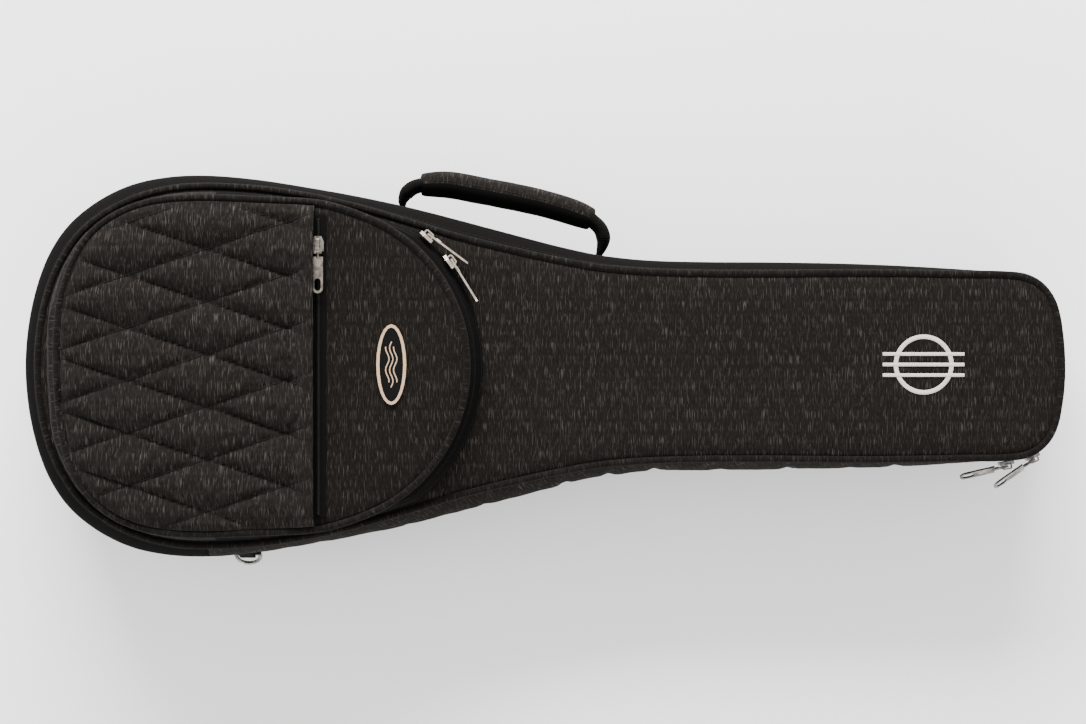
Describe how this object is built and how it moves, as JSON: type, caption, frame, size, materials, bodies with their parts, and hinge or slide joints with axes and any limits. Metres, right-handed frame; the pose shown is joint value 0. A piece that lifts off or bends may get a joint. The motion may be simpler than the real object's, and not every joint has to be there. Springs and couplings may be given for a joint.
{
  "type": "charango gig bag",
  "caption": "Padded soft case for a charango: zipped lid on a fabric hinge, zipped front pocket with a quilted panel, padded side handle and strap ring.",
  "frame": {"origin": "centre of the bag's back, on the surface that it lies on", "axes": "+X towards the head end, +Y towards the carrying handle, +Z out of the front"},
  "size_m": [0.7, 0.2726, 0.1284],
  "materials": {
    "melange_fabric": "woven charcoal-brown melange with light slubs",
    "zip_tape": "smooth woven zip tape, near black",
    "zip_coil": "nylon coil",
    "foam": "closed-cell foam padding",
    "lining": "brushed nylon lining",
    "webbing": "ribbed webbing",
    "zip_metal": "dark nickel plate",
    "emblem_thread": "silver-grey satin embroidery",
    "badge_face": "moulded, matt black",
    "badge_rim": "moulded, warm beige"
  },
  "bodies": {
    "bag_base": {"back_panel": "melange_fabric", "back_foam": "foam", "back_lining": "lining", "back_piping": "melange_fabric", "side_gusset": "melange_fabric", "side_foam": "foam", "side_lining": "lining", "main_zip_tape_lower": "zip_tape", "hinge_gusset_lower": "melange_fabric", "main_zip_coil_lower": "zip_coil", "ring_tab": "webbing"},
    "lid": {"front_panel": "melange_fabric", "front_foam": "foam", "front_lining": "lining", "front_piping": "melange_fabric", "main_zip_tape_upper": "zip_tape", "main_zip_coil_upper": "zip_coil", "hinge_gusset_upper": "melange_fabric", "pocket_gusset_end": "melange_fabric", "pocket_zip_tape_lower": "zip_tape", "pocket_zip_coil_lower": "zip_coil", "pocket_face_end": "melange_fabric", "pocket_piping_end": "melange_fabric", "quilted_panel_end": "melange_fabric", "neck_mark": "emblem_thread"},
    "pocket_flap": {"pocket_face_flap": "melange_fabric", "pocket_piping_flap": "melange_fabric", "quilted_panel_flap": "melange_fabric", "pocket_zip_tape_upper": "zip_tape", "pocket_zip_coil_upper": "zip_coil", "slip_zip_tape": "zip_tape", "slip_zip_coil": "zip_coil", "badge_plate": "badge_face", "badge_rim": "badge_rim"},
    "handle": {"handle_grip": "melange_fabric", "handle_leg_bottom": "webbing", "handle_leg_head": "webbing"},
    "ring": {"strap_ring": "zip_metal"},
    "main_first_slider": {"main_first_slider": "zip_metal"},
    "main_first_pull": {"main_first_pull": "zip_metal"},
    "main_second_slider": {"main_second_slider": "zip_metal"},
    "main_second_pull": {"main_second_pull": "zip_metal"},
    "pocket_first_slider": {"pocket_first_slider": "zip_metal"},
    "pocket_first_pull": {"pocket_first_pull": "zip_metal"},
    "pocket_second_slider": {"pocket_second_slider": "zip_metal"},
    "pocket_second_pull": {"pocket_second_pull": "zip_metal"},
    "slip_slider": {"slip_slider": "zip_metal"},
    "slip_pull": {"slip_pull": "zip_metal"}
  },
  "joints": [
    {"name": "lid_hinge", "type": "hinge", "parent": "bag_base", "child": "lid", "pos_m": [0.05687, -0.10663, 0.078], "axis": [0.9924, 0.1234, 0], "range_deg": [0, 180]},
    {"name": "flap_hinge", "type": "hinge", "parent": "lid", "child": "pocket_flap", "pos_m": [-0.217, 0, 0.1253], "axis": [0, -1, 0], "range_deg": [0, 110]},
    {"name": "handle_swing", "type": "hinge", "parent": "bag_base", "child": "handle", "pos_m": [-0.03, 0.095, 0.048], "axis": [0.9701, -0.2425, 0], "range_deg": [-60, 60]},
    {"name": "ring_swing", "type": "hinge", "parent": "bag_base", "child": "ring", "pos_m": [-0.206, -0.13059, 0.031], "axis": [-1, 0, 0], "range_deg": [-38, 90]},
    {"name": "main_first_slide", "type": "slide", "parent": "bag_base", "child": "main_first_slider", "axis": [-0.9876, -0.1569, 0], "range_m": [0, 0.028]},
    {"name": "main_second_slide", "type": "hinge", "parent": "bag_base", "child": "main_second_slider", "pos_m": [0.3145, -0.024, 0.078], "axis": [0, 0, 1], "range_deg": [0, 60]},
    {"name": "pocket_first_slide", "type": "hinge", "parent": "lid", "child": "pocket_first_slider", "pos_m": [-0.156, 0, 0.1095], "axis": [0, 0, 1], "range_deg": [0, 35]},
    {"name": "pocket_second_slide", "type": "hinge", "parent": "lid", "child": "pocket_second_slider", "pos_m": [-0.156, 0, 0.1095], "axis": [0, 0, 1], "range_deg": [-118, 0]},
    {"name": "slip_slide", "type": "slide", "parent": "pocket_flap", "child": "slip_slider", "axis": [0, -1, 0], "range_m": [0, 0.16]},
    {"name": "main_first_pull_swing", "type": "hinge", "parent": "main_first_slider", "child": "main_first_pull", "pos_m": [0.31178, -0.06769, 0.078], "axis": [0, 0, 1], "range_deg": [-2, 20]},
    {"name": "main_second_pull_swing", "type": "hinge", "parent": "main_second_slider", "child": "main_second_pull", "pos_m": [0.32994, -0.06308, 0.078], "axis": [0, 0, 1], "range_deg": [-2, 130]},
    {"name": "pocket_first_pull_swing", "type": "hinge", "parent": "pocket_first_slider", "child": "pocket_first_pull", "pos_m": [-0.07634, 0.08693, 0.1095], "axis": [0, 0, 1], "range_deg": [-2, 140]},
    {"name": "pocket_second_pull_swing", "type": "hinge", "parent": "pocket_second_slider", "child": "pocket_second_pull", "pos_m": [-0.06122, 0.07014, 0.1095], "axis": [0, 0, 1], "range_deg": [-1, 22]},
    {"name": "slip_pull_swing", "type": "hinge", "parent": "slip_slider", "child": "slip_pull", "pos_m": [-0.1482, 0.08, 0.1263], "axis": [-1, 0, 0], "range_deg": [0, 150]}
  ]
}
